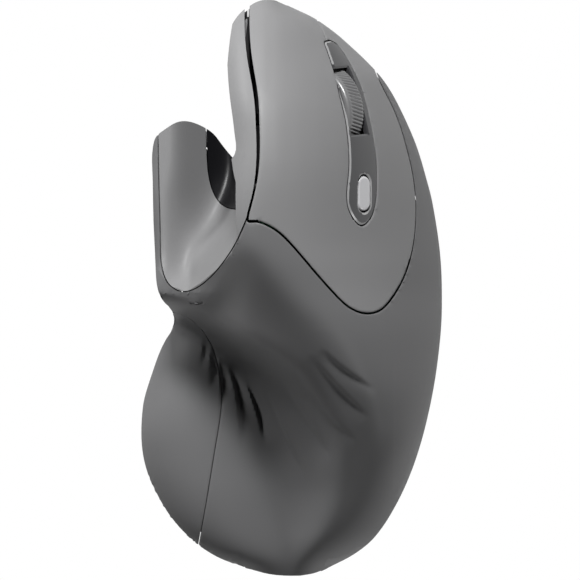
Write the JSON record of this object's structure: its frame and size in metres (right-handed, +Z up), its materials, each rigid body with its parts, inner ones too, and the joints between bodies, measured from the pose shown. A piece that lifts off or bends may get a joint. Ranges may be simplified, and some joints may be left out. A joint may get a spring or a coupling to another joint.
{
  "type": "ergonomic mouse",
  "caption": "Right-handed vertical computer mouse with a leaning key plate, ribbed wheel, thumb scoop with raised wing, pleated palm rest and sprung keys.",
  "frame": {"origin": "on the table under the middle of the plan outline", "axes": "+X to the user's right, +Y towards the front where the keys end, +Z up"},
  "size_m": [0.0628, 0.1199, 0.0678],
  "materials": {
    "shell_soft": "matte",
    "key_soft": "matte",
    "panel_soft": "matte",
    "trim_gloss": "polished",
    "button_satin": "satin",
    "tyre_rubber": "matte",
    "core_plastic": "satin",
    "base_plastic": "matte",
    "foot_white": "satin",
    "lens_clear": "polished",
    "board_green": "satin",
    "chip_black": "matte",
    "metal_bright": "satin",
    "battery_wrap": "satin"
  },
  "bodies": {
    "housing": {"main_shell": "shell_soft", "side_skirt": "shell_soft", "thumb_panel": "panel_soft", "button_bridge": "key_soft", "wheel_trim": "trim_gloss", "side_button_bezel": "trim_gloss", "base_plate": "base_plastic", "glide_feet": "foot_white", "base_screws": "metal_bright", "board_screws": "metal_bright", "key_board_screws": "metal_bright", "sensor_lens": "lens_clear", "optical_sensor": "chip_black", "main_board": "board_green", "key_board": "board_green", "side_switch_board": "board_green", "side_switches": "chip_black", "left_switch": "chip_black", "right_switch": "chip_black", "middle_switch": "chip_black", "dpi_switch": "chip_black", "usb_port": "metal_bright", "battery_pack": "battery_wrap", "power_switch_body": "chip_black"},
    "left_key": {"left_button": "key_soft"},
    "right_key": {"right_button": "key_soft"},
    "cradle": {"wheel_cradle": "core_plastic", "encoder": "chip_black"},
    "wheel": {"wheel_tyre": "tyre_rubber", "wheel_core": "core_plastic", "wheel_axle": "metal_bright"},
    "dpi_key": {"dpi_button": "button_satin"},
    "back_key": {"back_button": "button_satin"},
    "forward_key": {"forward_button": "button_satin"},
    "power_knob": {"power_slider": "button_satin"}
  },
  "joints": [
    {"name": "left_press", "type": "hinge", "parent": "housing", "child": "left_key", "pos_m": [0.00387, 0.0144, 0.06242], "axis": [-0.769, 0, 0.6392], "range_deg": [0, 0.3], "stiffness_Nm_per_rad": 2, "springref_deg": -1.15},
    {"name": "right_press", "type": "hinge", "parent": "housing", "child": "right_key", "pos_m": [0.02022, 0.0144, 0.04298], "axis": [-0.769, 0, 0.6392], "range_deg": [0, 0.3], "stiffness_Nm_per_rad": 2, "springref_deg": -1.15},
    {"name": "wheel_click", "type": "slide", "parent": "housing", "child": "cradle", "axis": [-0.6713, -0.2401, -0.7013], "range_m": [0, 0.0003], "stiffness_N_per_m": 1500, "springref_m": -0.0005},
    {"name": "wheel_turn", "type": "hinge", "parent": "cradle", "child": "wheel", "pos_m": [0.007, 0.037, 0.0454], "axis": [0.6973, 0.1161, -0.7073], "continuous": true},
    {"name": "dpi_press", "type": "slide", "parent": "housing", "child": "dpi_key", "axis": [-0.6392, 0, -0.769], "range_m": [0, 0.0005], "stiffness_N_per_m": 800, "springref_m": -0.0005},
    {"name": "back_press", "type": "slide", "parent": "housing", "child": "back_key", "axis": [1, 0, 0], "range_m": [0, 0.0004], "stiffness_N_per_m": 1200, "springref_m": -0.0005},
    {"name": "forward_press", "type": "slide", "parent": "housing", "child": "forward_key", "axis": [1, 0, 0], "range_m": [0, 0.0004], "stiffness_N_per_m": 1200, "springref_m": -0.0005},
    {"name": "power_slide", "type": "slide", "parent": "housing", "child": "power_knob", "axis": [0, 1, 0], "range_m": [0, 0.0024]}
  ]
}
